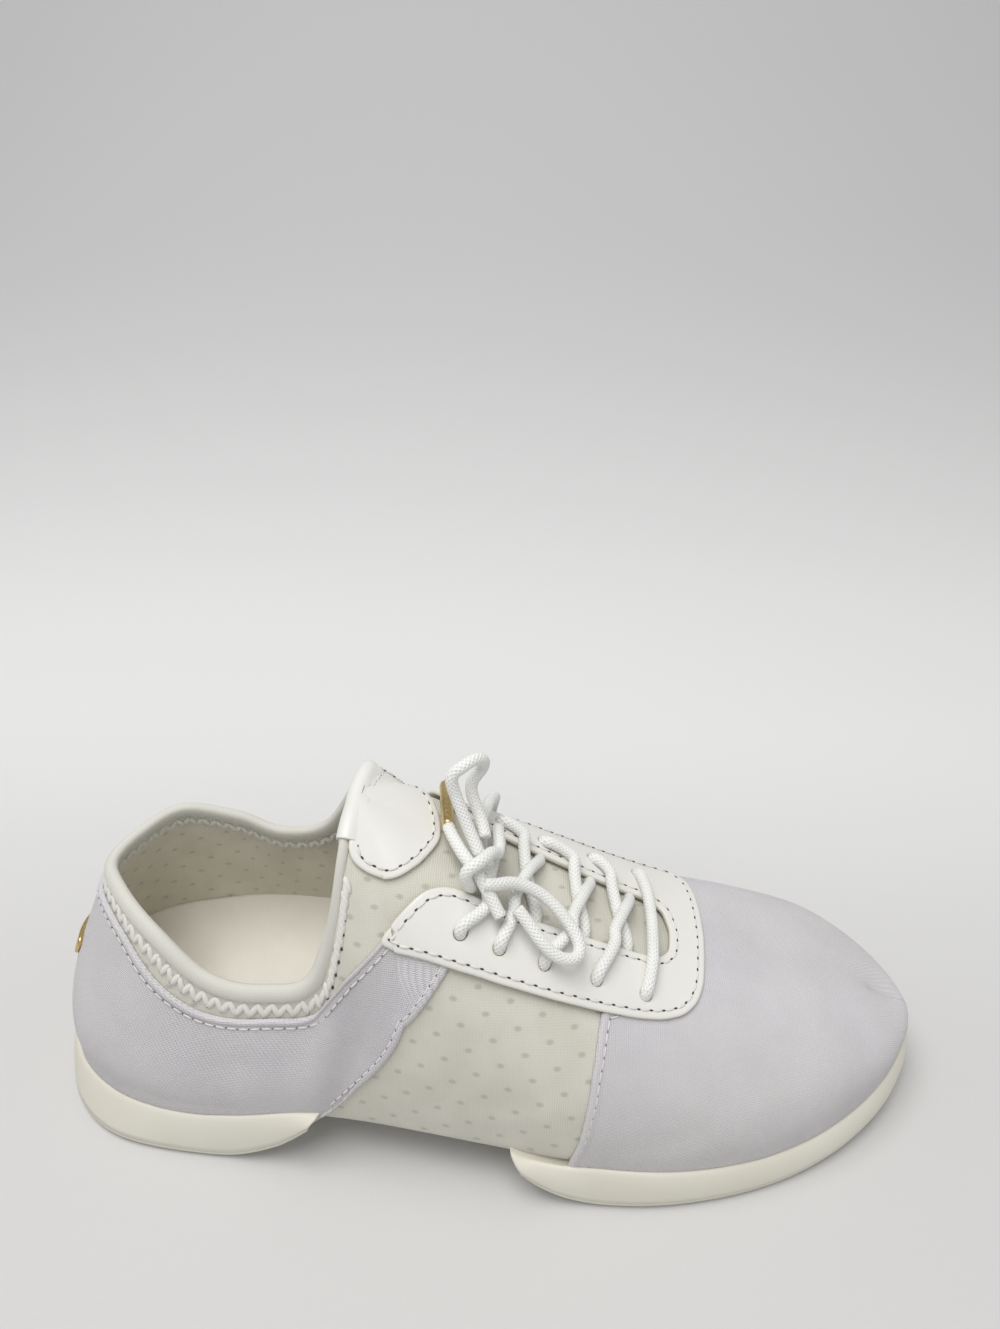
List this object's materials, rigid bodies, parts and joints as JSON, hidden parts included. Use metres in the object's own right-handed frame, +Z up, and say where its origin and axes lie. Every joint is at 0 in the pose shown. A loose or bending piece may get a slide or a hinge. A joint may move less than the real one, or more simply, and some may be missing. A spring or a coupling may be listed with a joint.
{
  "type": "dance sneaker",
  "caption": "Low laced dance sneaker for the right foot: stretch bootie with canvas heel and toe, leather eyestay, lace tied in a bow, split sole.",
  "frame": {"origin": "on the floor, under the middle of the shoe's outline (measured without the free lace ends)", "axes": "+X from heel to toe, +Y towards the inner side of the foot, +Z up"},
  "size_m": [0.2774, 0.1018, 0.1179],
  "materials": {
    "neoprene": "matt perforated knit, cream beige",
    "canvas": "matt plain weave, pale grey with a lavender tint",
    "white_leather": "smooth semi-matt, white",
    "cream_foam": "matt moulded, cream",
    "cream_rubber": "matt textured, cream",
    "footbed": "matt woven cover, cream",
    "lace": "braided, white",
    "brass": "polished"
  },
  "bodies": {
    "root": {"upper": "neoprene", "vamp_panel": "canvas", "heel_panel": "canvas", "eyestay": "white_leather", "tongue_patch": "white_leather", "heel_badge": "brass", "heel_sole": "cream_foam", "heel_outsole": "cream_rubber", "forefoot_sole": "cream_foam", "forefoot_outsole": "cream_rubber", "insole": "footbed", "lace_bar": "lace", "lace_cross_1": "lace", "lace_cross_2": "lace", "lace_cross_3": "lace", "lace_cross_4": "lace", "lace_knot": "lace", "lace_loop_down": "lace", "lace_loop_up": "lace", "lace_end_near": "lace", "lace_end_far": "lace", "aglet_near": "brass", "aglet_far": "brass"}
  },
  "joints": []
}
